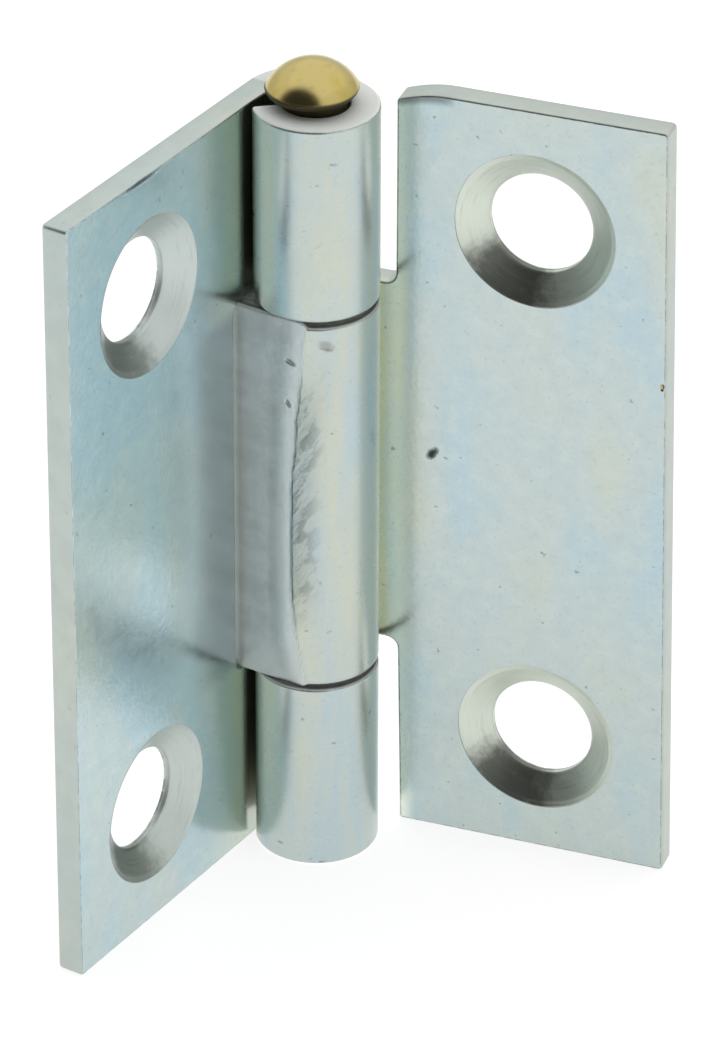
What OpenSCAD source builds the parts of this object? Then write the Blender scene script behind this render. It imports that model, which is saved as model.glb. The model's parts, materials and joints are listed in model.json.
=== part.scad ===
// Small butt hinge: two leaves of rolled steel sheet on one domed pin.
// The leaves are drawn about the pin, then moved so that the origin lies on the
// fixed leaf's back face, midway between its screw holes. +Y points out of that
// face, +X runs towards the pin and +Z runs up along the pin.

/* [Leaves] */
// Height of the leaves and of the barrel
leaf_h = 25.4; // [24:0.1:40]
// Pin axis to the outer edge of a leaf
leaf_reach = 10.5; // [10:0.1:16]
// Thickness of the sheet
sheet = 0.85; // [0.7:0.05:0.9]
// Pin axis to a leaf's inner face
leaf_gap = 1.6; // [1.6:0.05:1.75]
// Radius of the leaves' outer corners
corner_r = 0.15; // [0.1:0.05:1]
// Angle between the leaves' inner faces
open_angle = 102.5; // [95:0.5:180]

/* [Knuckles] */
// Outer diameter of the barrel
barrel_d = 3.8; // [3.6:0.05:3.8]
// Height of the centre knuckle as a share of the barrel
centre_share = 0.5; // [0.35:0.01:0.55]
// Gap between neighbouring knuckles
knuckle_gap = 0.16; // [0.05:0.01:0.3]
// Pin foot to the edge of the fixed leaf's notch
fixed_notch = 2; // [2:0.05:2.4]
// Pin foot to the edges of the swing leaf's notches
swing_notch = 1.92; // [1.9:0.02:2.5]
// Radius in the inner corners of the notches
notch_r = 0.35; // [0.1:0.05:0.5]
// Angle above the leaf's direction at which the rolled end stops
seam_angle = 50; // [30:1:52]

/* [Pin] */
// Diameter of the pin, pressed into the end knuckles
pin_d = 2; // [1.8:0.05:2.1]
// Radial clearance of the pin in the centre knuckle
pin_clearance = 0.05; // [0.02:0.01:0.1]
// Diameter of the pin's head
head_d = 2.8; // [2.4:0.1:3.4]
// Height of the head's dome
dome_h = 0.85; // [0.5:0.05:1.2]
// Height of the head's straight rim
rim_h = 0.2; // [0.1:0.05:0.4]
// Neck showing between the top knuckle and the head
neck_h = 0.3; // [0.1:0.05:0.6]
// Depth of the pin's lower end inside the bottom knuckle
pin_recess = 0.15; // [0:0.05:0.5]

/* [Screw holes] */
// Diameter of the holes
hole_d = 3.2; // [2.5:0.1:3.6]
// Diameter of the countersinks at the inner face
sink_d = 4.9; // [4:0.1:5.4]
// Depth of the countersinks
sink_depth = 0.6; // [0.4:0.05:0.6]
// Distance between a leaf's two holes
hole_pitch = 17.5; // [14:0.5:18]
// Pin axis to the line of holes
hole_reach = 6.4; // [6:0.1:7]

/* [Hidden] */

$fn = 96;
skin = 0.01;
barrel_r = barrel_d / 2;
pin_r = pin_d / 2;
hole_r = hole_d / 2;
sink_r = sink_d / 2;
centre_h = leaf_h * centre_share;
knuckle_low = (leaf_h - centre_h) / 2;
knuckle_high = leaf_h - knuckle_low;

// Each sheet runs straight behind the pin before it curls round the far side.
// These are the centres of that second, outer curl, as [along, behind] the leaf.
back_set = leaf_gap + sheet - barrel_r;
fixed_back = [-0.2, back_set];
swing_back = [0, back_set];

// The centre knuckle is pressed flat on the far side of its front. The flat face
// starts a little way along the leaf's direction from the barrel's front, and
// ends in a rounded corner that stands out past the barrel.
press_along = 0.35;
press_corner = barrel_r * [-0.976, -0.519];
press_corner_r = 0.42;
press_from = on_circle(barrel_r, asin(press_along / barrel_r) - 90);
press_chord = press_corner - press_from;
press_a = angle_of(press_chord) + asin(press_corner_r / norm(press_chord));

zinc = [0.73, 0.78, 0.77];
brass = [0.80, 0.66, 0.30];

function on_circle(r, a) = r * [cos(a), sin(a)];
function angle_of(v) = atan2(v.y, v.x);

// 2D shapes across the barrel: X along the leaf from the pin, Y behind it

// A circle about the pin joined to an equal circle about `back`
module loop(r, back) {
    circle(r);
    translate(back) circle(r);
    rotate(angle_of(back)) translate([0, -r]) square([norm(back), 2 * r]);
}

// The far half of the roll, from behind the pin round to its front
module far_roll(back, bore_r) {
    intersection() {
        difference() {
            loop(barrel_r, back);
            loop(bore_r, back);
        }
        translate([-2 * barrel_r, -2 * barrel_r]) square([2 * barrel_r, 4 * barrel_r]);
    }
}

// The near half of the roll, which stops short of the leaf's inner face
module near_roll(bore_r) {
    far = 4 * barrel_r;
    difference() {
        circle(barrel_r);
        circle(bore_r);
        translate([-far, -far]) square([far, 2 * far]);
        polygon([[0, 0], on_circle(far, seam_angle), [0, far]]);
    }
}

// The stretch of sheet between the roll and the edge of the notch
module tongue_section(back, notch) {
    translate([back.x, leaf_gap]) square([notch - back.x + skin, sheet]);
}

module knuckle_section(back, bore_r, notch) {
    far_roll(back, bore_r);
    near_roll(bore_r);
    tongue_section(back, notch);
}

// The pressed corner: a small circle, with a straight face on each side of it
module press_bulge(bore_r) {
    side_a = angle_of(press_corner) - acos((barrel_r - press_corner_r) / norm(press_corner));
    difference() {
        union() {
            translate(press_corner) circle(press_corner_r);
            polygon([
                [0, 0],
                press_from,
                press_corner + on_circle(press_corner_r, press_a + 90),
                press_corner,
                press_corner + on_circle(press_corner_r, side_a),
                on_circle(barrel_r, side_a)
            ]);
        }
        circle(bore_r);
    }
}

// What the press flattened: everything in front of its face
module press_waste() {
    translate(press_from) rotate(press_a) square([norm(press_chord), barrel_r]);
}

// 2D outline of a leaf: X from the pin, Y up
module leaf_outline(notch) {
    difference() {
        translate([notch, 0]) square([leaf_reach - notch, leaf_h]);
        for (top = [0, 1])
            translate([leaf_reach, top * leaf_h]) mirror([0, top])
                translate([-corner_r, 0]) corner_sliver(corner_r);
    }
}

// The sliver between a corner at [r, 0] and its rounding of radius r
module corner_sliver(r) {
    difference() {
        translate([0, -skin]) square([r + skin, r + skin]);
        translate([0, r]) circle(r);
    }
}

// The strip of sheet that joins a knuckle from z0 to z1 to its leaf, with
// rounded corners where it meets the notch beside it
module tongue_outline(notch, z0, z1) {
    translate([notch - notch_r, z0]) square([notch_r + skin, z1 - z0]);
    if (z0 > 0) translate([notch - notch_r, z0]) mirror([0, 1]) corner_sliver(notch_r);
    if (z1 < leaf_h) translate([notch - notch_r, z1]) corner_sliver(notch_r);
}

// A screw hole through the leaf, with its countersink at the inner face
module countersunk_hole() {
    slope = (sink_r - hole_r) / sink_depth;
    rotate([-90, 0, 0]) {
        translate([0, 0, leaf_gap - sheet]) cylinder(r = hole_r, h = 3 * sheet);
        translate([0, 0, leaf_gap - skin])
            cylinder(r1 = sink_r + skin * slope, r2 = hole_r, h = sink_depth + skin);
    }
}

// A leaf along +X of the pin, with its knuckles at the heights in `spans`
module leaf(notch, back, bore_r, spans, pressed = false) {
    difference() {
        union() {
            translate([0, leaf_gap + sheet, 0]) rotate([90, 0, 0]) linear_extrude(sheet) {
                leaf_outline(notch);
                for (s = spans) tongue_outline(notch, s[0], s[1]);
            }
            for (s = spans)
                translate([0, 0, s[0]]) linear_extrude(s[1] - s[0]) {
                    difference() {
                        knuckle_section(back, bore_r, notch);
                        if (pressed) press_waste();
                    }
                    if (pressed) press_bulge(bore_r);
                }
        }
        for (side = [-1, 1])
            translate([hole_reach, 0, (leaf_h + side * hole_pitch) / 2]) countersunk_hole();
    }
}

// Moves what is drawn about the pin to the object's own frame
module about_pin() {
    translate([hole_reach, -leaf_gap - sheet, -leaf_h / 2]) children();
}

// The leaf with the two end knuckles
module fixed_leaf() {
    spans = [[0, knuckle_low], [knuckle_high, leaf_h]];
    color(zinc) about_pin() mirror([1, 0, 0]) leaf(fixed_notch, fixed_back, pin_r, spans);
}

// The leaf with the centre knuckle
module swing_leaf() {
    spans = [[knuckle_low + knuckle_gap, knuckle_high - knuckle_gap]];
    bore_r = pin_r + pin_clearance;
    color(zinc) about_pin() rotate([0, 0, open_angle - 180])
        leaf(swing_notch, swing_back, bore_r, spans, pressed = true);
}

// The pin, turned as one piece with its domed head
module hinge_pin() {
    head_r = head_d / 2;
    dome_r = (head_r * head_r + dome_h * dome_h) / (2 * dome_h);
    rim_z = leaf_h + neck_h;
    color(brass) about_pin() rotate_extrude() {
        translate([0, pin_recess]) square([pin_r, rim_z - pin_recess + skin]);
        translate([0, rim_z]) square([head_r, rim_h]);
        intersection() {
            translate([0, rim_z + rim_h + dome_h - dome_r]) circle(dome_r);
            translate([0, rim_z + rim_h - skin]) square([head_r, dome_h + 2 * skin]);
        }
    }
}

fixed_leaf();
swing_leaf();
hinge_pin();
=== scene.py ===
"""Look model of a small butt hinge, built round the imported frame.

Every piece is drawn in millimetres about the pin, as in the part's own source:
X runs along a leaf from the pin, Y goes behind the leaf and Z runs up the pin.
A leaf is one sheet of steel, so its mesh is laid out flat (q along the sheet,
z up it, t through it) and then rolled round the pin.
"""

import json
import math
from collections import namedtuple

import bmesh
import bpy
import numpy as np
from mathutils import Matrix, Vector, geometry, noise


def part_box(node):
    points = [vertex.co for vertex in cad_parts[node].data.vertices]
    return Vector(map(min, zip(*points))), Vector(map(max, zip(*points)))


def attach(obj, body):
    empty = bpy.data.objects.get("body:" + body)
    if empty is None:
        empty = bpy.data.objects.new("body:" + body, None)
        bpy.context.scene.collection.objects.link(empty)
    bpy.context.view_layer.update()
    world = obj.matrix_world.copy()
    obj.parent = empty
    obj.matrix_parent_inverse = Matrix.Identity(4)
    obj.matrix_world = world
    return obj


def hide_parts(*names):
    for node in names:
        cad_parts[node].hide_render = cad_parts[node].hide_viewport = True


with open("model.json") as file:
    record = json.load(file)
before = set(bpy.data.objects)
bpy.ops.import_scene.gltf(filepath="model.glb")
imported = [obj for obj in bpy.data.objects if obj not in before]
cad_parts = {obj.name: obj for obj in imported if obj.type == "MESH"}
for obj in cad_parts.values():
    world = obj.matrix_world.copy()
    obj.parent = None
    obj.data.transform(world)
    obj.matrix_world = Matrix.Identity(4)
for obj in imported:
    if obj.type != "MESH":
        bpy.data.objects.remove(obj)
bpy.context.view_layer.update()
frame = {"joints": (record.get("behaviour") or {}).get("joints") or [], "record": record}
record = frame["record"]
mounts = {m["name"]: m for m in record["mounts"]}

MM = 0.001

# Sizes of the sheet, in millimetres. What the record gives is read from it.
joint_at = Vector(frame["joints"][0]["pos_m"]) / MM
low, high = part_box("fixed_leaf")
LEAF_H = (high.z - low.z) / MM
LEAF_REACH = joint_at.x - low.x / MM
LEAF_BACK_Y = 0.0
SHEET = 0.85
LEAF_GAP = LEAF_BACK_Y - joint_at.y - SHEET
FOOT_Z = low.z / MM
FOOT = Vector((joint_at.x, joint_at.y, FOOT_Z)) * MM
OUTER_CORNER_R = 0.15
BARREL_R = 1.9
PIN_R = 1.0
PIN_CLEARANCE = 0.05
CENTRE_SHARE = 0.5
KNUCKLE_GAP = 0.16
FIXED_NOTCH = 2.0
SWING_NOTCH = 1.92
NOTCH_R = 0.35
SEAM_ANGLE = 50.0
OPEN_ANGLE = 102.5

screws = mounts["fixed_leaf_screws"]["dims"]
HOLE_R = screws["hole_r_mm"]
HOLE_PITCH = screws["spacing_y_mm"]
HOLE_REACH = joint_at.x
SINK_R = 2.45
SINK_DEPTH = 0.6

# The press mark on the centre knuckle, as in the source. PRESS_STEP is how far
# its edge lies below the barrel, PRESS_EDGE_A the edge's angle about the pin,
# and PRESS_BOW how many degrees the edge bows at the height PRESS_BOW_Z.
PRESS_ALONG = 0.35
PRESS_CORNER = BARREL_R * np.array([-0.976, -0.519])
PRESS_CORNER_R = 0.42
PRESS_STEP = 0.012
PRESS_EDGE_A = 280.5
PRESS_BOW = 14.0
PRESS_BOW_Z = 11.0

# How the sheet's edges are softened: radius on the inner face and on the back
EDGE_IN = 0.07
EDGE_OUT = 0.11
EDGE_HOLD = 0.16
CUT_CORNER_R = 0.1

# The corner of the swing leaf beside its upper notch: how deep, and from which q
DIP = 0.33
DIP_FROM = 3.7

# The swing leaf isn't quite square to the pin: by how many degrees
LEAN = 1.04
LEAN_TO = 4.5

# What the press squeezed over the ends of the knuckle, and how rough it tore the
# skin beside its face
SQUEEZE = 0.148
SQUEEZE_FROM = 0.8
TORN_LUMPS = 0.009
TORN_HOLLOW = 0.006

# How far the sheets wander from flat, in long and in short waves
LONG_WAVE = 0.006
SHORT_WAVE = 0.0015

# How fine the mesh is: on the flat, on the roll, and on the pressed face along
# the sheet, up it and at its ends. A hole has HOLE_POINTS points in each ring, out
# to its collar.
FLAT_CELL = 0.24
ROLL_CELL = 0.11
PRESS_CELL_Q = 0.04
PRESS_CELL_Z = 0.07
PRESS_CELL_EDGE = 0.06
HOLE_POINTS = 96
COLLAR_R = SINK_R + 0.2


# ---------------------------------------------------------------- small maths

def unit(degrees):
    return np.array([math.cos(math.radians(degrees)), math.sin(math.radians(degrees))])


def angle_of(v):
    return math.degrees(math.atan2(v[1], v[0]))


def smooth(edge0, edge1, x):
    t = np.clip((x - edge0) / (edge1 - edge0), 0, 1)
    return t * t * (3 - 2 * t)


def noise_at(points):
    """Perlin noise in about -1 to 1 at each row of points."""
    return np.array([noise.noise(Vector(p)) for p in points])


def smooth_object(name, bm, mesh):
    """Ends a mesh: faces outwards, shaded smooth, in the scene."""
    bmesh.ops.recalc_face_normals(bm, faces=bm.faces)
    bm.to_mesh(mesh)
    bm.free()
    mesh.polygons.foreach_set("use_smooth", [True] * len(mesh.polygons))
    obj = bpy.data.objects.new(name, mesh)
    bpy.context.scene.collection.objects.link(obj)
    return obj


# --------------------------------------------------- the sheet, flat and rolled

class Leaf:
    """One leaf: what differs between the two, and how its sheet is rolled."""

    def __init__(self, notch, back, bore_r, spans, mirrored, turn, pressed):
        self.notch = notch
        self.back = np.array(back)
        self.bore_r = bore_r
        self.spans = spans
        self.mirrored = mirrored
        self.turn = turn
        self.pressed = pressed
        self.mid_r = (bore_r + BARREL_R) / 2
        self.link = float(np.linalg.norm(self.back))
        self.link_a = angle_of(self.back) + 90
        self.curl_len = self.mid_r * math.radians(self.link_a - 90)
        self.front_len = self.mid_r * math.radians(360 + SEAM_ANGLE - self.link_a)
        self.q_end = self.back[0] - self.curl_len - self.link - self.front_len

    def section(self, q, z, t):
        """Where the sheet lies across the barrel, as [X, Y] for each point."""
        u = self.back[0] - q
        turning = np.clip(u, 0, self.curl_len) / self.mid_r
        front = np.clip(u - self.curl_len - self.link, 0, None) / self.mid_r
        along = np.clip((u - self.curl_len) / self.link, 0, 1)
        a = math.pi / 2 + turning + front
        centre = self.back[None, :] * (1 - along)[:, None]
        outer = np.full_like(q, BARREL_R)
        if self.pressed:
            on_front = u > self.curl_len + self.link
            outer = np.where(on_front, press_radius(np.degrees(a), z), outer)
        r = self.bore_r + t * (outer - self.bore_r)
        rolled = centre + r[:, None] * np.stack([np.cos(a), np.sin(a)], 1)
        inner_y = LEAF_GAP + (self.back[1] + self.bore_r - LEAF_GAP) * smooth(1.2, 0, q)
        straight = np.stack([q, inner_y + t * (LEAF_GAP + SHEET - inner_y)], 1)
        return np.where((u <= 0)[:, None], straight, rolled)

    def angle(self, q):
        """Angle about the pin, in degrees, of the front of the roll."""
        u = self.back[0] - q - self.curl_len - self.link
        return self.link_a + np.degrees(np.clip(u, 0, None) / self.mid_r)


# The pressed face runs from press_from, where it leaves the barrel, to the rounded
# corner that stands out past it. Beyond the corner a side face leads back. Each
# stretch is told by how far it lies round the pin from where the side face starts.
press_start_a = math.degrees(math.asin(PRESS_ALONG / BARREL_R)) - 90
press_from = BARREL_R * unit(press_start_a)
press_chord = PRESS_CORNER - press_from
press_a = angle_of(press_chord) + math.degrees(
    math.asin(PRESS_CORNER_R / np.linalg.norm(press_chord)))
press_out = unit(press_a + 90)
press_side_a = angle_of(PRESS_CORNER) - math.degrees(
    math.acos((BARREL_R - PRESS_CORNER_R) / np.linalg.norm(PRESS_CORNER)))
side_out = unit(press_side_a)
side_end_turn = (angle_of(PRESS_CORNER + PRESS_CORNER_R * side_out) - press_side_a) % 360
face_end_turn = (angle_of(PRESS_CORNER + PRESS_CORNER_R * press_out) - press_side_a) % 360


def press_edge(z):
    """Angle about the pin at which the pressed face gives way to the barrel. It
    bows towards the leaf's far side at mid height and is torn rather than cut."""
    reach = np.where(z > PRESS_BOW_Z, 7.2, 4.3)
    bow = 1 - ((z - PRESS_BOW_Z) / reach) ** 2
    slow = noise_at([(3.1, 0.0, v * 0.7) for v in z]) * 1.3
    fine = noise_at([(7.7, 0.0, v * 2.6) for v in z]) * 0.8
    finer = noise_at([(1.9, 0.0, v * 7.0) for v in z]) * 0.35
    return PRESS_EDGE_A - PRESS_BOW * np.clip(bow, -0.2, 1) + slow + fine + finer


def press_radius(degrees, z):
    """Outer radius of the centre knuckle, pressed flat on one side."""
    direction = np.stack([np.cos(np.radians(degrees)), np.sin(np.radians(degrees))], 1)
    turn = (degrees - press_side_a) % 360
    side = BARREL_R / np.maximum(direction @ side_out, 0.2)
    along = direction @ PRESS_CORNER
    inside_r = along ** 2 - (PRESS_CORNER @ PRESS_CORNER - PRESS_CORNER_R ** 2)
    corner = along + np.sqrt(np.maximum(inside_r, 0))
    edge = press_edge(z)
    true_depth = press_out @ press_from
    edge_depth = BARREL_R * np.cos(np.radians(edge - angle_of(press_out) % 360)) - PRESS_STEP
    depth = true_depth + (edge_depth - true_depth) * smooth(238, 262, degrees)
    face = depth / np.maximum(direction @ press_out, 0.2)
    pressed = smooth(edge + 0.5, edge - 1.2, degrees)
    return np.select(
        [turn < side_end_turn, turn < face_end_turn, degrees < 258, degrees < 300],
        [side, corner, face, BARREL_R + (face - BARREL_R) * pressed], BARREL_R)


def scuffed(degrees, z):
    """How torn the barrel is beside the pressed face, 0 to 1."""
    beyond = degrees - press_edge(z)
    height = smooth(8.0, 10.5, z) * smooth(18.2, 15.5, z)
    return smooth(-0.5, 1.5, beyond) * smooth(34, 8, beyond) * height


def slanted(q, z):
    """Coordinates along and across the streaks that the press tore."""
    return 0.91 * z - 0.42 * q, 0.42 * z + 0.91 * q


def notch_dip(q, z):
    """How far the shear dragged down the sheet's top corner beside the notch."""
    reach = np.clip((DIP_FROM - q) / (DIP_FROM - SWING_NOTCH), 0, 1)
    return DIP * reach ** 2 * smooth(LEAF_H - 1.4, LEAF_H, z) * (q > 1.5)


def lean_shift(q, z):
    """How far the lean moves the swing leaf's sheet outwards. The knuckle and the
    upper notch keep their places, so that they clear the other leaf's roll."""
    below_middle = LEAF_H / 2 - z
    share = np.where(below_middle > 0, smooth(0.6, SWING_NOTCH, q),
                     smooth(SWING_NOTCH, LEAN_TO, q))
    return math.tan(math.radians(LEAN)) * below_middle * share


def outline_corners(leaf):
    """Corners of the flat sheet anticlockwise, as (q, z, radius)."""
    start = leaf.notch
    corners = [(LEAF_REACH, 0, OUTER_CORNER_R), (LEAF_REACH, LEAF_H, OUTER_CORNER_R)]
    top = LEAF_H
    for z0, z1 in reversed(leaf.spans):
        if z1 < top:
            if top == LEAF_H:
                corners.append((start, top, CUT_CORNER_R))
            corners.append((start, z1, NOTCH_R))
        corners.append((leaf.q_end, z1, CUT_CORNER_R))
        corners.append((leaf.q_end, z0, CUT_CORNER_R))
        if z0 > 0:
            corners.append((start, z0, NOTCH_R))
        top = z0
    if leaf.spans[0][0] > 0:
        corners.append((start, 0, CUT_CORNER_R))
    return corners


def outline(corners, inset, steps, arc=6):
    """Points of the outline moved inwards by inset. The same steps and arc give
    the same number of points for every inset."""
    n = len(corners)
    place = [np.array(c[:2], float) for c in corners]
    ends = []
    for i in range(n):
        before = place[i] - place[i - 1]
        after = place[(i + 1) % n] - place[i]
        before /= np.linalg.norm(before)
        after /= np.linalg.norm(after)
        left0, left1 = np.array([-before[1], before[0]]), np.array([-after[1], after[0]])
        convex = before[0] * after[1] - before[1] * after[0] > 0
        p = place[i] + inset * (left0 + left1)
        r = corners[i][2] - inset if convex else corners[i][2] + inset
        r = max(r, 0.01)
        sign = 1 if convex else -1
        centre = p + sign * r * (left0 + left1)
        ring = []
        for k in range(arc + 1):
            f = k / arc * math.pi / 2
            ring.append(centre - sign * r * (math.cos(f) * left0 + math.sin(f) * left1))
        ends.append(ring)
    points = []
    for i in range(n):
        points += ends[i]
        a, b = ends[i][-1], ends[(i + 1) % n][0]
        for k in range(1, steps[i]):
            points.append(a + (b - a) * k / steps[i])
    return np.array(points)


def edge_profile():
    """Steps round a cut edge, from the inner face to the back, as (inset, t)."""
    steps = [(EDGE_HOLD, 0), (EDGE_IN + 0.02, 0)]
    for k in range(5):
        a = k / 4 * math.pi / 2
        steps.append((EDGE_IN * (1 - math.sin(a)), EDGE_IN * (1 - math.cos(a)) / SHEET))
    steps += [(0, 0.33), (0, 0.6)]
    for k in range(5):
        a = k / 4 * math.pi / 2
        steps.append((EDGE_OUT * (1 - math.cos(a)), 1 - EDGE_OUT * (1 - math.sin(a)) / SHEET))
    return steps + [(EDGE_OUT + 0.02, 1), (EDGE_HOLD, 1)]


def hole_profile():
    """Steps down a countersunk hole from the inner face to the back, as
    (radius, t). The first and the last radius are equal."""
    rim = 0.05
    d = SINK_DEPTH / SHEET
    steps = [(COLLAR_R, 0), (SINK_R + rim + 0.02, 0), (SINK_R + rim * 0.8, 0.002),
             (SINK_R + rim * 0.3, 0.014), (SINK_R - rim * 0.3, 0.045)]
    for k in range(1, 12):
        f = k / 12
        steps.append((SINK_R + (HOLE_R - SINK_R) * f, d * f))
    steps += [(HOLE_R + 0.02, d * 0.985), (HOLE_R, d + 0.02), (HOLE_R, 0.85),
              (HOLE_R, 0.93), (HOLE_R + 0.015, 0.975), (HOLE_R + 0.05, 1),
              (HOLE_R + 0.09, 1), (HOLE_R + 0.4, 1)]
    return steps + [(COLLAR_R, 1)]


def hole_ring(side, radius):
    """Points of a circle about the upper (1) or the lower (-1) hole."""
    centre = np.array([HOLE_REACH, (LEAF_H + side * HOLE_PITCH) / 2])
    a = np.arange(HOLE_POINTS) / HOLE_POINTS * 2 * math.pi
    return centre + radius * np.stack([np.cos(a), np.sin(a)], 1)


def inside(points, ring):
    """Which points lie inside the closed ring."""
    x, y = points[:, 0][:, None], points[:, 1][:, None]
    x0, y0 = ring[:, 0][None], ring[:, 1][None]
    x1, y1 = np.roll(ring[:, 0], -1)[None], np.roll(ring[:, 1], -1)[None]
    cross = (y0 > y) != (y1 > y)
    at = x0 + (y - y0) * (x1 - x0) / np.where(y1 == y0, 1e-9, y1 - y0)
    return (np.sum(cross & (x < at), 1) % 2) == 1


def near(points, ring, limit):
    """Which points lie closer to a ring's points than limit."""
    found = np.zeros(len(points), bool)
    for i in range(0, len(points), 4000):
        d = points[i:i + 4000, None, :] - ring[None]
        found[i:i + 4000] = np.min(np.sum(d * d, 2), 1) < limit * limit
    return found


def grid_points(leaf):
    """Points that fill the flat sheet: finer where it is rolled or pressed."""
    sets = []
    plate_q = np.arange(leaf.notch + 0.1, LEAF_REACH, FLAT_CELL)
    plate_z = np.arange(0.1, LEAF_H, FLAT_CELL)
    sets.append(np.stack(np.meshgrid(plate_q, plate_z), -1).reshape(-1, 2))
    for z0, z1 in leaf.spans:
        roll_z = np.linspace(z0, z1, int((z1 - z0) / FLAT_CELL) + 1)
        roll_q = np.arange(leaf.q_end, leaf.notch + 0.1, ROLL_CELL)
        if leaf.pressed:
            a = leaf.angle(roll_q)
            in_press = (a > 212) & (a < 306)
            fine_q = np.arange(roll_q[in_press].min(), roll_q[in_press].max(), PRESS_CELL_Q)
            fine_z = np.linspace(z0, z1, int((z1 - z0) / PRESS_CELL_Z) + 1)
            sets.append(np.stack(np.meshgrid(fine_q, fine_z), -1).reshape(-1, 2))
            roll_q = roll_q[~in_press]
        sets.append(np.stack(np.meshgrid(roll_q, roll_z), -1).reshape(-1, 2))
    return np.concatenate(sets)


def edge_steps(corners, leaf):
    """How many pieces each straight stretch of the outline is cut into."""
    steps = []
    n = len(corners)
    for i in range(n):
        a, b = np.array(corners[i][:2]), np.array(corners[(i + 1) % n][:2])
        along_q = abs(a[1] - b[1]) < 1e-6
        if along_q and min(a[0], b[0]) < 0:
            cell = PRESS_CELL_EDGE if leaf.pressed else ROLL_CELL
        else:
            cell = FLAT_CELL
        steps.append(max(2, int(np.linalg.norm(b - a) / cell)))
    return steps


def fill(leaf):
    """Triangles that fill the sheet between its outline and its holes. Returns the
    flat points, the triangles, the indices of each boundary ring, and the corners
    and steps that the outline was drawn with."""
    corners = outline_corners(leaf)
    steps = edge_steps(corners, leaf)
    ring = outline(corners, EDGE_HOLD, steps)
    holes = [hole_ring(side, COLLAR_R) for side in (-1, 1)]
    extra = grid_points(leaf)
    keep = inside(extra, ring) & ~near(extra, ring, 0.09)
    for hole in holes:
        centre = hole.mean(0)
        keep &= np.linalg.norm(extra - centre, axis=1) > COLLAR_R + 0.1
    points = np.concatenate([ring] + holes + [extra[keep]])
    loops, edges, at = [], [], 0
    for loop in [ring] + holes:
        ids = list(range(at, at + len(loop)))
        edges += list(zip(ids, ids[1:] + ids[:1]))
        loops.append(ids)
        at += len(loop)
    out = geometry.delaunay_2d_cdt([Vector(p) for p in points], edges, [], 0, 1e-6, True)
    flat = np.array([list(v) for v in out[0]])
    new_id = {}
    for new, olds in enumerate(out[3]):
        for old in olds:
            new_id[old] = new
    tris = np.array([f for f in out[2]])
    middle = flat[tris].mean(1)
    ok = inside(middle, ring)
    for hole in holes:
        ok &= np.linalg.norm(middle - hole.mean(0), axis=1) > COLLAR_R * 0.9995
    return flat, tris[ok], [[new_id[i] for i in loop] for loop in loops], corners, steps


def leaf_mesh(leaf):
    """All points of the leaf as flat coordinates (q, z, t), its faces, and a few
    numbers for the material: how far from a hole's axis, and whether on a cut."""
    flat, tris, loops, corners, steps = fill(leaf)
    n = len(flat)
    q = [flat[:, 0], flat[:, 0]]
    z = [flat[:, 1], flat[:, 1]]
    t = [np.zeros(n), np.ones(n)]
    turn = [np.zeros(n), np.zeros(n)]
    cut = [np.zeros(n), np.zeros(n)]
    faces = [tuple(f) for f in tris[:, ::-1]] + [tuple(f + n) for f in tris]
    at = 2 * n

    def strip(first, last, rings):
        nonlocal at
        rows = [first]
        for ring_q, ring_z, ring_t, ring_turn, ring_cut in rings:
            q.append(ring_q)
            z.append(ring_z)
            t.append(ring_t)
            turn.append(ring_turn)
            cut.append(ring_cut)
            rows.append(list(range(at, at + len(ring_q))))
            at += len(ring_q)
        rows.append(last)
        for a, b in zip(rows, rows[1:]):
            m = len(a)
            for i in range(m):
                j = (i + 1) % m
                faces.append((a[i], a[j], b[j], b[i]))

    rings = []
    for inset, depth in edge_profile()[1:-1]:
        p = outline(corners, inset, steps)
        full = np.ones(len(p))
        rings.append((p[:, 0], p[:, 1], full * depth, full * 0,
                      full * (1.0 if inset < 0.06 else 0.0)))
    strip(loops[0], [i + n for i in loops[0]], rings)

    for k, side in enumerate((-1, 1)):
        rings = []
        for radius, depth in hole_profile()[1:-1]:
            p = hole_ring(side, radius)
            full = np.ones(HOLE_POINTS)
            rings.append((p[:, 0], p[:, 1], full * depth,
                          full * (radius if 0 < depth < 0.9 else 0),
                          full * (0.5 if 0.72 < depth < 0.99 else 0.0)))
        strip(loops[1 + k], [i + n for i in loops[1 + k]], rings)
    return (np.concatenate(q), np.concatenate(z), np.concatenate(t),
            np.concatenate(turn), np.concatenate(cut), faces)


def sheet_wave(leaf, q, z):
    """The sheet isn't quite flat: how far it stands behind its true face, in mm."""
    seed = 11.3 if leaf.pressed else 4.9
    slow = noise_at([(a * 0.13 + seed, b * 0.10, seed) for a, b in zip(q, z)])
    mid = noise_at([(a * 0.45 + seed, b * 0.38, 2.0) for a, b in zip(q, z)])
    on_plate = smooth(0.6, 2.6, q)
    return (slow * LONG_WAVE + mid * SHORT_WAVE) * on_plate


def squeezed_lip(leaf, a, z, t):
    """How far up the press squeezed metal over the ends of the centre knuckle."""
    z0, z1 = leaf.spans[0]
    share = smooth(200, 206, a) * smooth(284, 276, a) * smooth(0.3, 1, t)
    ends = smooth(z1 - SQUEEZE_FROM, z1, z) - smooth(z0 + SQUEEZE_FROM, z0, z)
    return SQUEEZE * share * ends


def torn_relief(q, z, t, a):
    """How far the torn skin beside the pressed face stands out, in mm."""
    torn = scuffed(a, z) * smooth(0.9, 1, t)
    along, across = slanted(q, z)
    lumps = noise_at([(u * 1.1, v * 4.2, 5.0) for u, v in zip(along, across)])
    lumps += 0.5 * noise_at([(u * 3.0, v * 9.0, 9.0) for u, v in zip(along, across)])
    return torn * lumps * TORN_LUMPS - torn * TORN_HOLLOW


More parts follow.
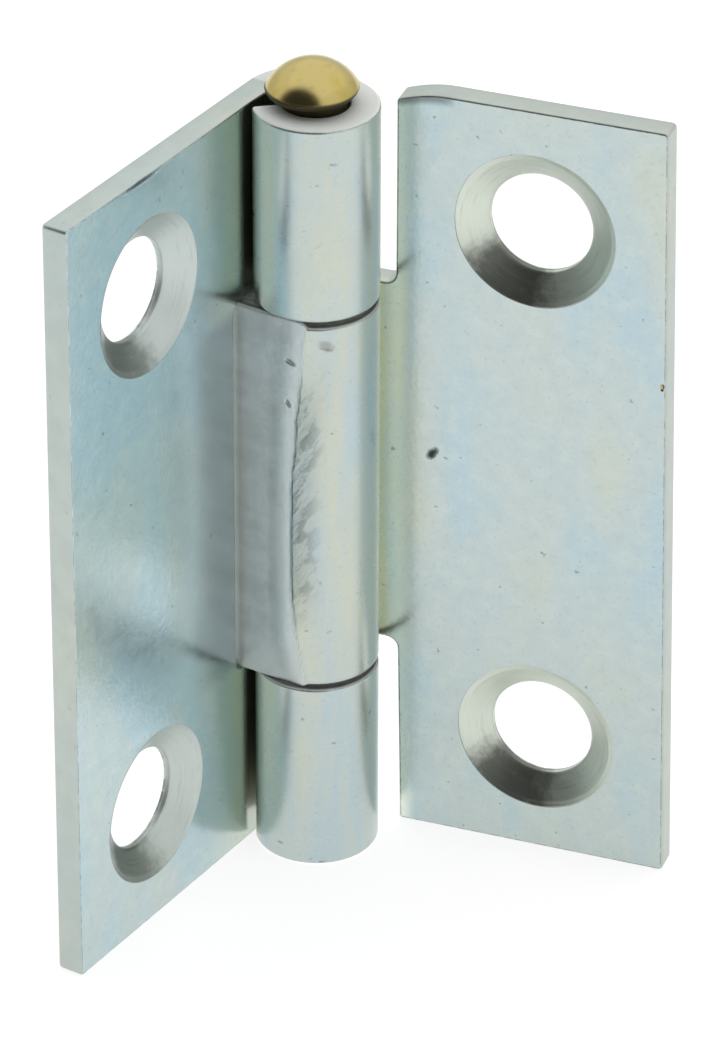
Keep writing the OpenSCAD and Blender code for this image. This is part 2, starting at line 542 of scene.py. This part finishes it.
def surface_masks(leaf, q, z, t, a, cut):
    """What the material needs to know about each point, 0 to 1, by name."""
    on_roll = np.where(q < leaf.back[0], 1.0, 0.0)
    pressed, torn, seam, worn, rim = [np.zeros(len(q)) for _ in range(5)]
    if leaf.pressed:
        edge = press_edge(z)
        outside = smooth(0.9, 1, t)
        pressed = smooth(edge + 0.2, edge - 0.9, a) * smooth(196, 204, a) * outside
        torn = scuffed(a, z) * outside
        # a painted glow on the pressed flat, lighter towards its torn edge
        worn = smooth(edge - 26, edge - 5, a) * pressed
        # painted shade on the rounded corner of the flat, in place of the darker reflection it
        # shows
        rim = smooth(217, 211, a) * pressed
        at_edge = smooth(edge - 2.4, edge - 0.8, a) * smooth(edge + 1.8, edge + 0.2, a)
        seam = 0.5 * at_edge * smooth(7.6, 9.2, z) * smooth(17.6, 16.0, z) * outside
        # painted shade: a dark line on the inner face just under the dragged-down corner
        under_dip_shade = smooth(0.26, 0.14, LEAF_H - z) * smooth(3.95, 3.6, q) * (q > 1.5)
        seam = np.maximum(seam, under_dip_shade * smooth(0.12, 0.02, t))
    # dirt and painted shade darken the gaps between knuckles, and a little inside the roll
    to_gap = np.full(len(q), LEAF_H)
    for end in {end for span in leaf.spans for end in span} - {0, LEAF_H}:
        to_gap = np.minimum(to_gap, np.abs(z - end))
    dirt = smooth(0.05, 0, to_gap) * on_roll * (1 - pressed) * smooth(0.5, 0.8, t)
    dirt = np.maximum(dirt, 0.45 * smooth(-0.4, -1.2, q) * smooth(0.12, 0.02, t))
    return {"pressed": pressed, "torn": torn, "seam": seam, "dirt": dirt, "worn": worn,
            "press_rim": rim, "roll_end": on_roll * cut}


def build_leaf(name, leaf):
    q, z, t, turn, cut, faces = leaf_mesh(leaf)
    a = leaf.angle(q)
    xy = leaf.section(q + lean_shift(q, z) if leaf.pressed else q, z, t)
    xy[:, 1] += sheet_wave(leaf, q, z)
    height = z.copy()
    if leaf.pressed:
        height += squeezed_lip(leaf, a, z, t)
        out = np.stack([np.cos(np.radians(a)), np.sin(np.radians(a))], 1)
        xy += out * torn_relief(q, z, t, a)[:, None]
        height -= notch_dip(q, z)
    x, y = xy[:, 0], xy[:, 1]
    if leaf.mirrored:
        x = -x
    turn_by = math.radians(leaf.turn)
    world = np.stack([
        joint_at.x + x * math.cos(turn_by) - y * math.sin(turn_by),
        joint_at.y + x * math.sin(turn_by) + y * math.cos(turn_by),
        FOOT_Z + height,
    ], 1) * MM
    mesh = bpy.data.meshes.new(name)
    mesh.from_pydata(world.tolist(), [], faces)
    values = {"sheet_q": q, "sheet_z": z, "sheet_t": t, "turn_r": turn, "cut_edge": cut}
    values.update(surface_masks(leaf, q, z, t, a, cut))
    for label, numbers in values.items():
        mesh.attributes.new(label, "FLOAT", "POINT").data.foreach_set(
            "value", numbers.astype(np.float32))
    bm = bmesh.new()
    bm.from_mesh(mesh)
    bmesh.ops.remove_doubles(bm, verts=bm.verts, dist=1e-8)
    return smooth_object(name, bm, mesh)


centre_h = LEAF_H * CENTRE_SHARE
knuckle_low = (LEAF_H - centre_h) / 2
knuckle_high = LEAF_H - knuckle_low
back_set = LEAF_GAP + SHEET - BARREL_R

fixed = Leaf(FIXED_NOTCH, (-0.2, back_set), PIN_R,
             [(0, knuckle_low), (knuckle_high, LEAF_H)], True, 0, False)
swing = Leaf(SWING_NOTCH, (0, back_set), PIN_R + PIN_CLEARANCE,
             [(knuckle_low + KNUCKLE_GAP, knuckle_high - KNUCKLE_GAP)], False,
             OPEN_ANGLE - 180, True)

fixed_obj = build_leaf("zinc_leaf_fixed", fixed)
swing_obj = build_leaf("zinc_leaf_swing", swing)


# ------------------------------------------------------------------- the pin

def lathe(name, profile, segments=128):
    """Turns a profile of (radius, z) about the pin's axis. Ends on the axis close."""
    bm = bmesh.new()
    rows = []
    for r, z in profile:
        if r < 1e-6:
            rows.append([bm.verts.new((0, 0, z * MM))])
            continue
        rows.append([bm.verts.new((r * MM * math.cos(2 * math.pi * k / segments),
                                   r * MM * math.sin(2 * math.pi * k / segments), z * MM))
                     for k in range(segments)])
    for a, b in zip(rows, rows[1:]):
        for k in range(segments):
            j = (k + 1) % segments
            if len(a) == 1:
                bm.faces.new((a[0], b[j], b[k]))
            elif len(b) == 1:
                bm.faces.new((a[k], a[j], b[0]))
            else:
                bm.faces.new((a[k], a[j], b[j], b[k]))
    return smooth_object(name, bm, bpy.data.meshes.new(name))


HEAD_R = 1.4
HEAD_RIM = 0.2
HEAD_DOME = 0.85
NECK = 0.3
PIN_RECESS = 0.15
FOOT_ROUND = 0.18
RIM_Z = LEAF_H + NECK

# The head sits a little aslant: it is raised on the side HEAD_SIDE, by this many
# degrees, and stands this many millimetres away from it.
HEAD_SIDE = (0.55, -0.83)
HEAD_TILT = 1.2
HEAD_SHIFT = 0.12


def pin_profile():
    shank_r = PIN_R - 0.004
    steps = [(0, PIN_RECESS), (shank_r - FOOT_ROUND - 0.1, PIN_RECESS)]
    for k in range(6):
        a = k / 5 * math.pi / 2
        steps.append((shank_r - FOOT_ROUND * (1 - math.sin(a)),
                      PIN_RECESS + FOOT_ROUND * (1 - math.cos(a))))
    shank_z = PIN_RECESS + FOOT_ROUND
    for k in range(1, 24):
        steps.append((shank_r, shank_z + (RIM_Z - shank_z - 0.06) * k / 24))
    steps += [(shank_r, RIM_Z - 0.06), (shank_r + 0.02, RIM_Z - 0.02), (shank_r + 0.06, RIM_Z)]
    # the rim leans in towards its foot, and a short curve joins it to the dome
    steps += [(HEAD_R - 0.2, RIM_Z), (HEAD_R - 0.13, RIM_Z + 0.015),
              (HEAD_R - 0.1, RIM_Z + 0.05), (HEAD_R - 0.06, RIM_Z + 0.1),
              (HEAD_R - 0.02, RIM_Z + 0.16)]
    dome_r = (HEAD_R ** 2 + HEAD_DOME ** 2) / (2 * HEAD_DOME)
    dome_mid = RIM_Z + HEAD_RIM + HEAD_DOME - dome_r
    start = math.asin((RIM_Z + HEAD_RIM - dome_mid) / dome_r)
    for k in range(1, 41):
        a = start + (math.pi / 2 - start) * (k / 41) ** 1.3
        steps.append((dome_r * math.cos(a), dome_mid + dome_r * math.sin(a)))
    return steps + [(0, dome_mid + dome_r)]


pin_obj = lathe("brass_pin", pin_profile())
for v in pin_obj.data.vertices:
    lift = max(0.0, min(1.0, (v.co.z / MM - LEAF_H) / NECK))
    rise = math.tan(math.radians(HEAD_TILT)) * lift
    v.co.z += (v.co.x * HEAD_SIDE[0] + v.co.y * HEAD_SIDE[1]) * rise
    v.co.x -= HEAD_SIDE[0] * HEAD_SHIFT * lift * MM
    v.co.y -= HEAD_SIDE[1] * HEAD_SHIFT * lift * MM
    v.co += FOOT


# ------------------------------------------------------------------ materials

class Tree:
    """A short way to write a node tree."""

    def __init__(self, tree):
        self.tree = tree

    def node(self, kind, values=None, **props):
        made = self.tree.nodes.new(kind)
        for key, value in props.items():
            setattr(made, key, value)
        for key, value in (values or {}).items():
            self.put(value, made.inputs[key])
        return made

    def put(self, value, socket):
        if isinstance(value, bpy.types.NodeSocket):
            self.tree.links.new(value, socket)
        else:
            socket.default_value = value

    def math(self, operation, a, b=0.0, c=0.0):
        made = self.node("ShaderNodeMath", operation=operation)
        for socket, value in zip(made.inputs, (a, b, c)):
            self.put(value, socket)
        return made.outputs[0]

    def times(self, a, b):
        return self.math("MULTIPLY", a, b)

    def plus(self, a, b):
        return self.math("ADD", a, b)

    def scaled(self, value, factor, offset):
        """value * factor + offset"""
        return self.math("MULTIPLY_ADD", value, factor, offset)

    def attribute(self, name):
        return self.node("ShaderNodeAttribute", attribute_name=name).outputs["Fac"]

    def place(self, x, y, z):
        return self.node("ShaderNodeCombineXYZ", {0: x, 1: y, 2: z}).outputs[0]

    def noise(self, vector, scale, detail=2.0, rough=0.5, distortion=0.0):
        return self.node("ShaderNodeTexNoise", {
            "Vector": vector, "Scale": scale, "Detail": detail, "Roughness": rough,
            "Distortion": distortion}).outputs["Fac"]

    def ramp(self, value, stops):
        made = self.node("ShaderNodeValToRGB", {0: value})
        ramp = made.color_ramp
        ramp.interpolation = "EASE"
        while len(ramp.elements) < len(stops):
            ramp.elements.new(0.5)
        for element, (at, colour) in zip(ramp.elements, stops):
            element.position = at
            element.color = (*colour, 1)
        return made.outputs[0]

    def band(self, value, a, b, low=0.0, high=1.0):
        """low before a, high beyond b, smooth between."""
        return self.node("ShaderNodeMapRange", {0: value, 1: a, 2: b, 3: low, 4: high},
                         interpolation_type="SMOOTHSTEP").outputs[0]

    def mix(self, share, a, b, blend="MIX"):
        made = self.node("ShaderNodeMix", data_type="RGBA", blend_type=blend)
        self.put(share, made.inputs[0])
        for socket, value in ((made.inputs[6], a), (made.inputs[7], b)):
            self.put((*value, 1) if isinstance(value, tuple) else value, socket)
        return made.outputs[2]

    def cover(self, base, mask, share, colour):
        """base under a coat of the colour, as dense as a share of the mask."""
        return self.mix(self.times(mask, share), base, colour)

    def bump(self, height, strength, distance, normal=None):
        values = {"Height": height, "Strength": strength, "Distance": distance}
        if normal is not None:
            values["Normal"] = normal
        return self.node("ShaderNodeBump", values).outputs[0]


class Material(Tree):
    def __init__(self, name):
        self.material = bpy.data.materials.new(name)
        self.material.use_nodes = True
        super().__init__(self.material.node_tree)
        self.shader = self.tree.nodes["Principled BSDF"]

    def set(self, socket, value):
        self.put(value, self.shader.inputs[socket])


# Zinc plate: its drifts of tint on the sheet and on the roll, clouds and specks
SHEET_TINTS = [(0.32, (0.440, 0.560, 0.580)), (0.5, (0.490, 0.565, 0.540)),
               (0.68, (0.530, 0.575, 0.495))]
ROLL_TINTS = [(0.36, (0.480, 0.570, 0.590)), (0.5, (0.530, 0.585, 0.545)),
              (0.64, (0.570, 0.595, 0.500))]
PALE_CLOUD = (0.545, 0.610, 0.560)
DULL_CLOUD = (0.440, 0.505, 0.490)
FINE_SPECK = (0.36, 0.42, 0.41)
LARGE_SPECK = (0.22, 0.26, 0.25)
# The pressed face with its painted glow and painted rim shade, and the torn skin beside it
FLAT_PALE = (0.620, 0.660, 0.660)
FLAT_DULL = (0.530, 0.570, 0.565)
FLAT_GLOW = (0.870, 0.890, 0.880)
FLAT_RIM_SHADE = (0.52, 0.56, 0.55)
TORN_SKIN = (0.37, 0.42, 0.41)
TORN_STREAK = (0.24, 0.28, 0.27)
SEAM_AND_LIP_SHADE = (0.16, 0.19, 0.19)
# Edges
CUT_EDGE = (0.490, 0.525, 0.470)
WORN_EDGE = (0.40, 0.44, 0.42)
BURR = (0.17, 0.20, 0.19)
SHEARED_END = (0.830, 0.860, 0.820)
# Dirt and marks, with painted shade in the grime and a painted dark reflection in the
# countersinks
CUTTER_SMEAR = (0.33, 0.36, 0.33)
CONE_DARK_REFLECTION = (0.13, 0.14, 0.12)
GRIME_AND_SHADE = (0.110, 0.122, 0.112)
PIT = (0.035, 0.040, 0.045)
SCRATCH = (0.17, 0.21, 0.21)
SMUDGE = (0.36, 0.38, 0.36)
RUST = (0.50, 0.34, 0.14)

# A tint beside the roll, which carries painted light and a painted reflection over the zinc's own
# straw tint:
# it grows from q = outer to q = inner, between the heights bottom and top if they are given
RollSideTint = namedtuple("RollSideTint", "outer inner share colour bottom top", defaults=(None, None))
# The countersinks: their colour, and the direction and strength of the painted dark reflection on
# one side
Cones = namedtuple("Cones", "colour stain_angle stain_share")
# A pit or smudge at (q, z), turned by lean degrees
Mark = namedtuple("Mark", "q z half_length half_width lean colour")


def mark_spot(n, mark, q, z, sheet):
    """The mask of one mark: an ellipse with a ragged rim."""
    c, s = math.cos(math.radians(mark.lean)), math.sin(math.radians(mark.lean))
    dq, dz = n.math("SUBTRACT", q, mark.q), n.math("SUBTRACT", z, mark.z)
    along = n.plus(n.times(dq, c / mark.half_length), n.times(dz, s / mark.half_length))
    across = n.plus(n.times(dq, -s / mark.half_width), n.times(dz, c / mark.half_width))
    far = n.math("SQRT", n.plus(n.math("POWER", n.math("ABSOLUTE", along), 2.0),
                                n.math("POWER", n.math("ABSOLUTE", across), 2.0)))
    far = n.plus(far, n.scaled(n.noise(sheet, 4.0, 2, 0.6), 0.8, -0.4))
    return n.band(far, 1.5, 0.35)


def zinc_material(name, seed, cool, gain, roll_side_tints, cones, marks):
    """Bright zinc plate over pressed steel. cool shifts its tint from straw to
    blue, and gain scales it."""
    n = Material(name)
    q, z, t = n.attribute("sheet_q"), n.attribute("sheet_z"), n.attribute("sheet_t")
    turn_r, cut = n.attribute("turn_r"), n.attribute("cut_edge")
    pressed, torn, dirt = n.attribute("pressed"), n.attribute("torn"), n.attribute("dirt")
    seam, worn = n.attribute("seam"), n.attribute("worn")
    press_rim, roll_end = n.attribute("press_rim"), n.attribute("roll_end")
    sheet = n.place(n.plus(q, seed), z, t)
    inner_face, outer_face = n.band(t, 0.5, 0.1), n.band(t, 0.5, 0.9)

    # bluish, neutral and straw-coloured drifts of the passivated zinc
    drift = n.noise(n.place(n.plus(q, seed), n.times(z, 0.4), t), 0.3, 2, 0.5)
    tint = n.ramp(n.plus(drift, cool), SHEET_TINTS)
    cloud = n.noise(sheet, 1.7, 5, 0.68)
    tint = n.cover(tint, n.band(cloud, 0.45, 0.70), 0.6, PALE_CLOUD)
    tint = n.cover(tint, n.band(cloud, 0.48, 0.28), 0.4, DULL_CLOUD)
    # painted shade: the gain lightens the plate fully only up from its foot and away from the
    # roll, so it stays darker near both
    lit_share = n.times(n.band(z, 0.5, 8.0), n.band(q, 1.0, 4.5))
    tint = n.mix(n.scaled(lit_share, 0.7, 0.3), tint, gain, "MULTIPLY")
    # the roll has its own drifts, drawn out along it
    on_roll = n.band(q, 0.4, -0.4)
    bands = n.noise(n.place(n.times(q, 1.7), n.times(z, 0.16), seed), 1.0, 4, 0.6)
    tint = n.cover(tint, on_roll, 0.8, n.ramp(bands, ROLL_TINTS))
    # the tints beside the roll: painted light, and a painted reflection of the knuckle
    for side_tint in roll_side_tints:
        coat = n.times(n.band(q, side_tint.outer, side_tint.inner), inner_face)
        if side_tint.top is not None:
            span = n.times(n.band(z, side_tint.bottom - 0.4, side_tint.bottom + 0.4),
                           n.band(z, side_tint.top + 0.4, side_tint.top - 0.4))
            coat = n.times(coat, span)
        tint = n.cover(tint, coat, side_tint.share, side_tint.colour)
    tint = n.cover(tint, n.band(n.noise(sheet, 7.0, 4, 0.7), 0.55, 0.72), 0.45, FINE_SPECK)
    tint = n.cover(tint, n.band(n.noise(sheet, 2.9, 2, 0.5), 0.70, 0.76), 0.6, LARGE_SPECK)

    # the pressed flat is dull and grey, and a painted glow makes it lighter towards its torn edge
    blotch = n.noise(sheet, 0.9, 4, 0.6)
    flat_colour = n.mix(n.band(blotch, 0.36, 0.66), FLAT_PALE, FLAT_DULL)
    flat_colour = n.cover(flat_colour, worn, 0.9, FLAT_GLOW)
    tint = n.mix(pressed, tint, flat_colour)
    # the flat's rounded corner is painted darker: painted shade in place of a darker reflection
    tint = n.mix(press_rim, tint, FLAT_RIM_SHADE)
    # the torn skin has streaks that slant across it
    along = n.scaled(q, -0.42, n.times(z, 0.91))
    across = n.scaled(q, 0.91, n.times(z, 0.42))
    flakes = n.noise(n.place(n.times(along, 0.7), n.times(across, 2.2), seed),
                     1.8, 4, 0.62, 0.25)
    tint = n.cover(tint, torn, 0.35, TORN_SKIN)
    tint = n.cover(tint, n.times(torn, n.band(flakes, 0.50, 0.60)), 0.65, TORN_STREAK)
    # a dark line along the press edge, and a painted shade line under the dragged-down corner
    tint = n.cover(tint, seam, 0.8, SEAM_AND_LIP_SHADE)

    # cut edges are a little paler and warmer than the faces, and the burr where
    # the inner face meets one holds a broken dark line
    tint = n.cover(tint, cut, 0.7, CUT_EDGE)
    wear = n.band(n.noise(sheet, 1.2, 2, 0.5), 0.35, 0.65)
    tint = n.cover(tint, n.times(cut, wear), 0.2, WORN_EDGE)
    burr = n.times(n.band(cut, 0.0, 0.2), n.band(cut, 1.0, 0.7))
    broken = n.band(n.noise(sheet, 2.6, 3, 0.65), 0.40, 0.58)
    tint = n.cover(tint, n.times(burr, broken), 0.85, BURR)
    tint = n.cover(tint, roll_end, 0.9, SHEARED_END)

    # countersinks keep the smears of the cutter, and carry a painted dark reflection on one side
    on_turn = n.band(turn_r, 0.5, 1.0)
    tint = n.cover(tint, on_turn, 0.85, cones.colour)
    smear = n.noise(n.place(n.times(turn_r, 9.0), n.times(q, 0.5), n.times(z, 0.5)),
                    1.4, 3, 0.6)
    tint = n.cover(tint, n.times(on_turn, n.band(smear, 0.52, 0.74)), 0.3, CUTTER_SMEAR)
    upper = n.math("GREATER_THAN", z, LEAF_H / 2)
    hole_z = n.scaled(upper, HOLE_PITCH, (LEAF_H - HOLE_PITCH) / 2)
    dark_q, dark_z = (float(v) for v in unit(cones.stain_angle))
    towards = n.plus(n.times(n.math("SUBTRACT", q, HOLE_REACH), dark_q),
                     n.times(n.math("SUBTRACT", z, hole_z), dark_z))
    facing = n.math("DIVIDE", towards, n.math("MAXIMUM", turn_r, 1.0))
    facing = n.plus(facing, n.scaled(n.noise(sheet, 1.9, 3, 0.65), 0.36, -0.18))
    # the painted dark reflection on one side of the countersink
    darkened_side = n.times(on_turn, n.band(facing, 0.70, 0.96))
    tint = n.cover(tint, darkened_side, cones.stain_share, CONE_DARK_REFLECTION)

    # dirt and painted shade at the knuckle gaps and inside the roll
    grime_and_shade = n.times(dirt, n.scaled(n.noise(sheet, 4.0, 3, 0.6), 0.5, 0.7))
    tint = n.mix(n.math("MINIMUM", grime_and_shade, 0.94), tint, GRIME_AND_SHADE)
    marked = 0.0
    for mark in marks:
        spot = n.times(mark_spot(n, mark, q, z, sheet), inner_face if mark.q > 0 else outer_face)
        tint = n.mix(spot, tint, mark.colour)
        marked = n.math("MAXIMUM", marked, spot)
    n.set("Base Color", tint)

    # the grime with its painted shade, and the sheared ends of the knuckles, are matt
    matt = n.math("MAXIMUM", n.times(dirt, 0.9), n.times(roll_end, 0.9))
    n.set("Metallic", n.math("SUBTRACT", 1.0, matt))
    rough = n.scaled(n.noise(sheet, 1.3, 4, 0.6), 0.16, 0.14)
    for share, amount in ((on_roll, 0.07), (cut, 0.18), (pressed, 0.22), (torn, 0.18),
                          (on_turn, 0.20), (dirt, 0.3), (roll_end, 0.25), (press_rim, 0.35)):
        rough = n.scaled(share, amount, rough)
    n.set("Roughness", rough)

    normal = n.bump(n.noise(sheet, 5.5, 3, 0.55), 0.3, 0.000012)
    dents = n.noise(n.place(q, n.times(z, 0.8), seed), 3.4, 4, 0.6)
    normal = n.bump(n.times(dents, pressed), 0.5, 0.00006, normal)
    normal = n.bump(n.times(flakes, torn), 0.9, 0.00009, normal)
    wobble = n.scaled(n.noise(sheet, 0.7, 2, 0.5), 0.16, turn_r)
    lines = n.noise(n.place(n.times(wobble, 7.0), seed, 0.0), 1.0, 2, 0.6)
    normal = n.bump(n.times(lines, on_turn), 0.35, 0.00003, normal)
    normal = n.bump(n.times(marked, -1.0), 0.8, 0.00005, normal)
    n.set("Normal", normal)
    return n.material


BRASS = [(0.3, (0.480, 0.385, 0.110)), (0.5, (0.530, 0.435, 0.165)), (0.7, (0.510, 0.430, 0.200))]
BRASS_SCUFF = (0.36, 0.30, 0.11)
BRASS_RIM_SHADE = (0.080, 0.068, 0.036)
SHANK_SHADE = (0.26, 0.24, 0.18)


def brass_material(foot_z, rim_z):
    """Polished brass on the dome; the rim and the neck under the head are painted dark as shade,
    and so is the shank inside the barrel.
    """
    n = Material("brass_pin")
    here = n.node("ShaderNodeTexCoord").outputs["Object"]
    height = n.node("ShaderNodeSeparateXYZ", {0: here}).outputs[2]
    colour = n.ramp(n.noise(here, 700.0, 3, 0.6), BRASS)
    colour = n.cover(colour, n.band(n.noise(here, 3200.0, 4, 0.65), 0.55, 0.72), 0.4, BRASS_SCUFF)
    # painted shade on the rim and the neck under the head
    below = n.band(height, rim_z + 0.00009, rim_z + 0.00001)
    colour = n.mix(below, colour, BRASS_RIM_SHADE)
    # painted shade: the shank inside the barrel is dark, so the slot beside it reads as shadow
    in_barrel = n.band(height, foot_z + (LEAF_H + 0.02) * MM, foot_z + (LEAF_H - 0.10) * MM)
    n.set("Base Color", n.mix(in_barrel, colour, SHANK_SHADE))
    n.set("Metallic", 1.0)
    rough = n.scaled(n.noise(here, 1500.0, 3, 0.6), 0.14, 0.13)
    n.set("Roughness", n.scaled(below, 0.35, rough))
    n.set("Normal", n.bump(n.noise(here, 2600.0, 4, 0.6), 0.25, 0.000008))
    return n.material


zinc_fixed = zinc_material(
    "zinc_fixed", seed=31.7, cool=-0.10, gain=(1.13, 1.19, 1.27),
    # beside the roll: a straw tint lightened as painted light, and a blue-grey painted reflection
    # of the middle knuckle
    roll_side_tints=[RollSideTint(4.2, 2.0, 0.75, (0.640, 0.700, 0.590)),
           RollSideTint(4.8, 2.8, 0.85, (0.340, 0.410, 0.430), bottom=6.6, top=18.8)],
    cones=Cones((0.560, 0.600, 0.560), stain_angle=300, stain_share=0.6),
    marks=[Mark(6.7, 25.28, 0.80, 0.07, 0.0, SCRATCH)])
zinc_swing = zinc_material(
    "zinc_swing", seed=5.2, cool=0.0, gain=(1.03, 1.04, 1.08),
    # beside the roll, on the tongue: pale and straw tints lightened as painted light
    roll_side_tints=[RollSideTint(2.5, 1.9, 0.80, (0.850, 0.910, 0.780)),
           RollSideTint(1.75, 1.45, 0.80, (0.890, 0.880, 0.590))],
    cones=Cones((0.700, 0.745, 0.650), stain_angle=243, stain_share=0.85),
    marks=[Mark(3.11, 13.3, 0.23, 0.12, 52.0, PIT),
           Mark(-5.94, 18.28, 0.20, 0.13, 40.0, SMUDGE),
           Mark(-5.00, 16.2, 0.12, 0.06, 60.0, SMUDGE),
           Mark(-5.05, 17.6, 0.14, 0.07, 20.0, SMUDGE),
           Mark(10.36, 17.0, 0.06, 0.10, 0.0, RUST)])
brass = brass_material(FOOT_Z * MM, (FOOT_Z + RIM_Z + HEAD_RIM) * MM)
for obj, material, body, node, slot in (
        (fixed_obj, zinc_fixed, "fixed_leaf", "fixed_leaf", "zinc_plated_steel"),
        (swing_obj, zinc_swing, "swing_leaf", "swing_leaf", "zinc_plated_steel"),
        (pin_obj, brass, "fixed_leaf", "hinge_pin", "brass_pin")):
    obj.data.materials.append(material)
    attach(obj, body)
    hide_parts(node)


# ------------------------------------------------------------- floor and light

FLOOR_HALF = 1.2
FLOOR_GREY = (0.35, 0.35, 0.35)
FLOOR_ROUGH = 0.9
FLOOR_GLOW = 0.80

floor_mesh = bpy.data.meshes.new("floor")
floor_mesh.from_pydata([(x * FLOOR_HALF, y * FLOOR_HALF, 0)
                        for x, y in ((-1, -1), (1, -1), (1, 1), (-1, 1))], [], [(0, 1, 2, 3)])
floor_obj = bpy.data.objects.new("floor", floor_mesh)
floor_obj.location.z = FOOT_Z * MM
bpy.context.scene.collection.objects.link(floor_obj)
pale_floor = Material("pale_floor")
pale_floor.set("Base Color", (*FLOOR_GREY, 1))
pale_floor.set("Roughness", FLOOR_ROUGH)
pale_floor.set("Emission Color", (1, 1, 1, 1))
pale_floor.set("Emission Strength", FLOOR_GLOW)
floor_mesh.materials.append(pale_floor.material)

CAMERA_AZIMUTH = -57.53
CAMERA_ELEVATION = 30.91


def around(azimuth, elevation, distance, target):
    """A point at that bearing from the target. Azimuth 0 is in front, on -Y."""
    a, e = math.radians(azimuth), math.radians(elevation)
    return target + distance * Vector((math.sin(a) * math.cos(e), -math.cos(a) * math.cos(e),
                                       math.sin(e)))


def area_light(name, azimuth, elevation, distance, size, power):
    data = bpy.data.lights.new(name, "AREA")
    data.shape = "SQUARE"
    data.size = size
    data.energy = power
    obj = bpy.data.objects.new(name, data)
    obj.location = around(azimuth, elevation, distance, Vector((0, 0, 0)))
    obj.rotation_euler = (-obj.location).to_track_quat("-Z", "Y").to_euler()
    bpy.context.scene.collection.objects.link(obj)


# The camera looks from CAMERA_AZIMUTH, so 180 from there is behind the hinge.
area_light("top_box", CAMERA_AZIMUTH + 150, 74, 0.8, 1.6, 1.0)

# The tent round the hinge: how bright it is at the horizon and above, and where
# its dark side lies and how dark that is
TENT_LOW = 0.75
TENT_HIGH = 1.0
DARK_SIDE = (CAMERA_AZIMUTH - 32, 16)
DARK_LEVEL = 0.04


def studio_world():
    """A white tent: light above and behind, dim at the horizon, and dark on the
    side where the photographer stands."""
    world = bpy.data.worlds.new("studio")
    world.use_nodes = True
    n = Tree(world.node_tree)
    background = n.tree.nodes["Background"]
    direction = n.node("ShaderNodeTexCoord").outputs["Generated"]
    height = n.node("ShaderNodeSeparateXYZ", {0: direction}).outputs[2]
    facing = n.node("ShaderNodeVectorMath", {
        0: direction, 1: around(*DARK_SIDE, 1.0, Vector((0, 0, 0)))},
        operation="DOT_PRODUCT").outputs["Value"]
    tent = n.band(height, 0.0, 0.5, TENT_LOW, TENT_HIGH)
    shade = n.band(facing, 0.52, 0.74, 1.0, DARK_LEVEL)
    n.put(n.times(tent, shade), background.inputs["Strength"])
    n.put((1, 1, 1, 1), background.inputs["Color"])
    return world


bpy.context.scene.world = studio_world()
bpy.context.scene.view_settings.view_transform = "Standard"


# ------------------------------------------------------------------ the camera

# Where the camera looks: millimetres to the right of the pin's foot, as the
# camera sees it, and above it
TARGET_RIGHT, TARGET_UP = 1.437, 10.94
CAMERA_DISTANCE = 207.7
CAMERA_ROLL = -0.202
VIEW_HEIGHT_ANGLE = math.radians(8.776)

turn = math.radians(CAMERA_AZIMUTH)
right = Vector((math.cos(turn), math.sin(turn), 0))
target = FOOT + (right * TARGET_RIGHT + Vector((0, 0, TARGET_UP))) * MM
camera_data = bpy.data.cameras.new("camera")
camera_data.sensor_fit = "VERTICAL"
camera_data.sensor_height = 36
camera_data.sensor_width = 36
camera_data.lens = 18 / math.tan(VIEW_HEIGHT_ANGLE / 2)
camera = bpy.data.objects.new("camera", camera_data)
camera.location = around(CAMERA_AZIMUTH, CAMERA_ELEVATION, CAMERA_DISTANCE * MM, target)
look = (target - camera.location).to_track_quat("-Z", "Y").to_matrix()
camera.rotation_euler = (look @ Matrix.Rotation(math.radians(-CAMERA_ROLL), 3, "Z")).to_euler()
camera_data.clip_start = 0.005
camera_data.clip_end = 10
bpy.context.scene.collection.objects.link(camera)
bpy.context.scene.camera = camera
